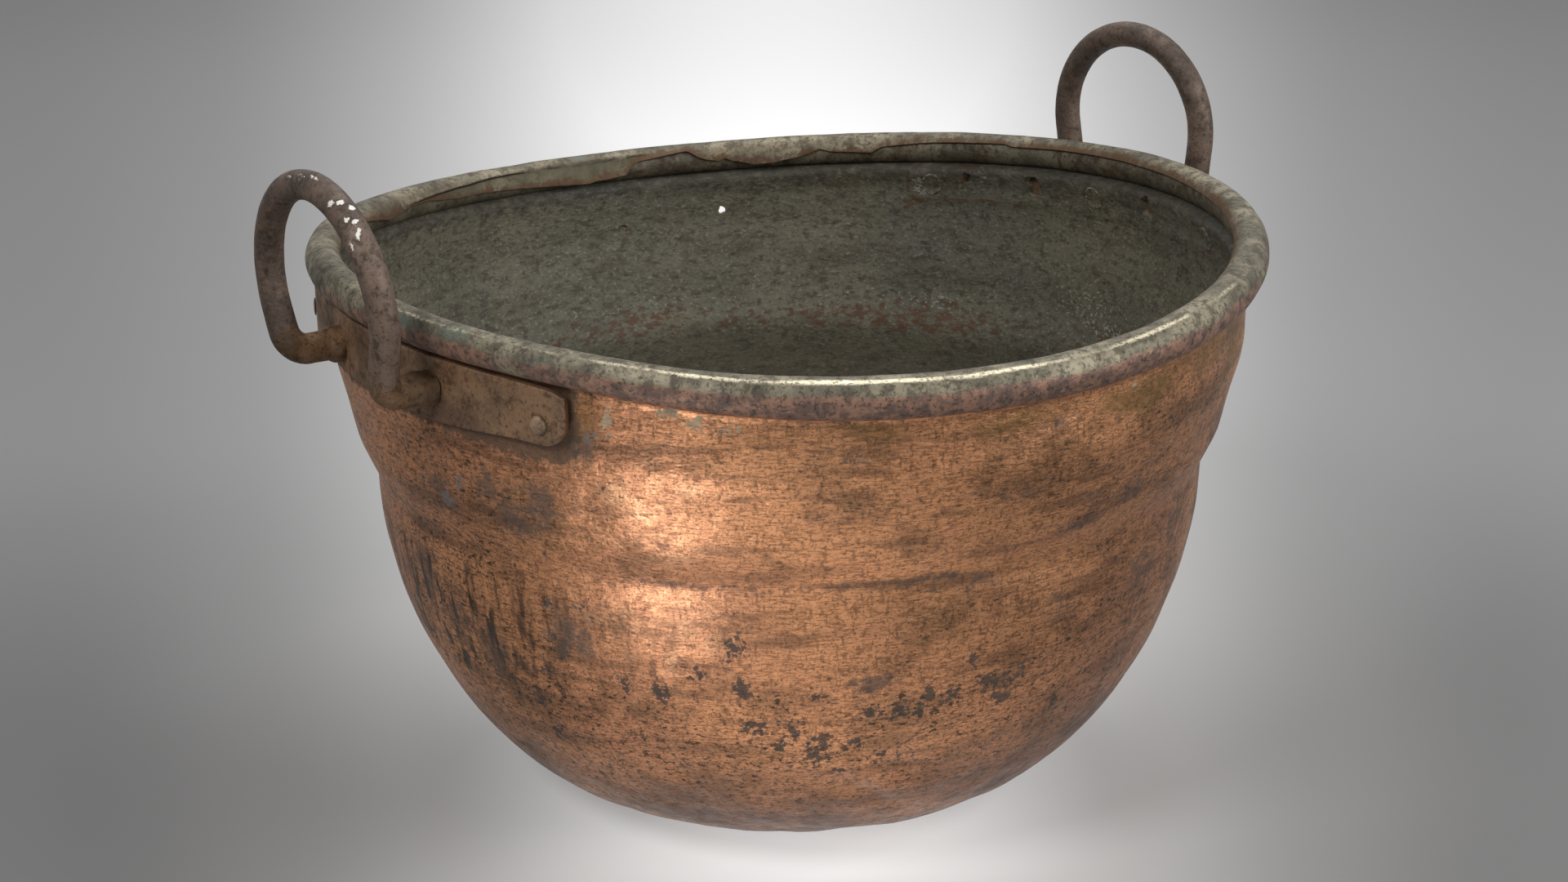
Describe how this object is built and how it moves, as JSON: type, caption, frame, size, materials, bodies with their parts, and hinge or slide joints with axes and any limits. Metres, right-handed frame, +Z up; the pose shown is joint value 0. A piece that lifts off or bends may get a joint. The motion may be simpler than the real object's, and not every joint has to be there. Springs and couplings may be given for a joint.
{
  "type": "cauldron",
  "caption": "Worn copper cauldron with a bellied body, a crease below the neck, a rolled rim over an iron ring, riveted iron straps and standing loop handles.",
  "frame": {"origin": "the middle of the flat bottom, where the cauldron stands", "axes": "+Z up, +X towards the right handle, +Y towards the back, where the long torn lip of the rim lies"},
  "size_m": [0.6574, 0.5952, 0.4372],
  "materials": {
    "worn_copper": "worn and scratched, with dark grey-brown stains",
    "rim_iron": "rusty and grimy",
    "rusty_iron": "rusty, forged",
    "handle_iron": "forged, smooth from use, rusty at the feet"
  },
  "bodies": {
    "root": {"copper_pot": "worn_copper", "rim_ring": "rim_iron", "left_strap": "rusty_iron", "right_strap": "rusty_iron", "left_handle": "handle_iron", "right_handle": "handle_iron", "left_strap_rivet_1": "rusty_iron", "left_strap_rivet_2": "rusty_iron", "left_strap_rivet_3": "rusty_iron", "right_strap_rivet_1": "rusty_iron", "right_strap_rivet_2": "rusty_iron", "right_strap_rivet_3": "rusty_iron"}
  },
  "joints": []
}
